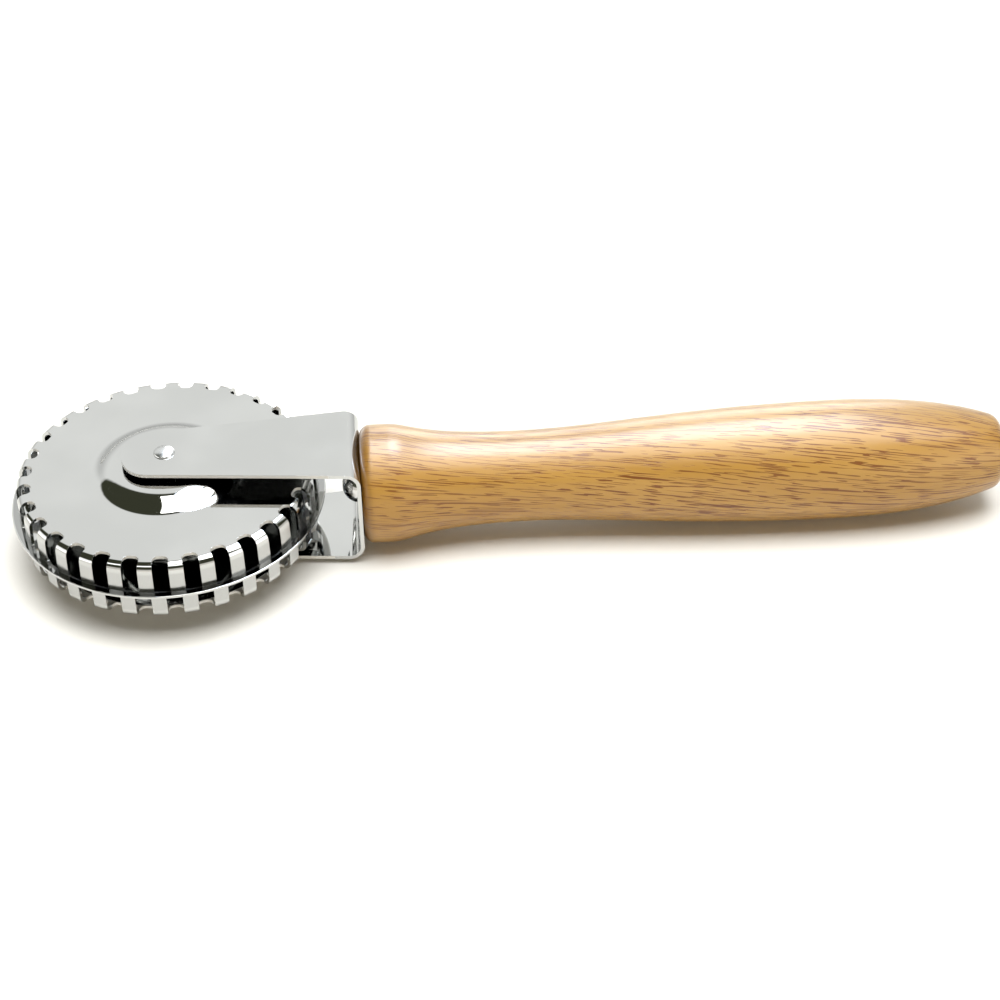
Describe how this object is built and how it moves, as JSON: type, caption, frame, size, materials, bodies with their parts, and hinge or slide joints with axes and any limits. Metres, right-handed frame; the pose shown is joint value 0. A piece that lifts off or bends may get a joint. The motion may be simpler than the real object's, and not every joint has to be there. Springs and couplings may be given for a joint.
{
  "type": "pastry crimper",
  "caption": "Pastry crimper: a plated wheel of two toothed cups either side of a thin cutting disc, spinning on a pin in a sheet fork screwed to a turned wooden handle.",
  "frame": {"origin": "on the handle's axis at its waist, the thinnest place behind the fork, where the hand holds it", "axes": "+X along the handle from the wheel to the butt, +Z along the wheel's axle, +Y completes a right-handed frame, across the handle"},
  "size_m": [0.1815, 0.057, 0.0218],
  "materials": {
    "varnished_wood": "clear varnish, satin to gloss",
    "bright_plate": "bright nickel-chrome plate",
    "plain_steel": "zinc-bright, slightly dull"
  },
  "bodies": {
    "handle_and_fork": {"handle": "varnished_wood", "fork": "bright_plate", "fork_screw": "plain_steel", "axle_pin": "bright_plate", "upper_washer": "plain_steel", "lower_washer": "plain_steel"},
    "wheel": {"upper_tooth_cup": "bright_plate", "lower_tooth_cup": "bright_plate", "cutting_disc": "bright_plate", "hub_eyelet": "plain_steel"}
  },
  "joints": [
    {"name": "wheel_spin", "type": "hinge", "parent": "handle_and_fork", "child": "wheel", "pos_m": [-0.0646, 0, 0], "axis": [0, 0, 1], "continuous": true}
  ]
}
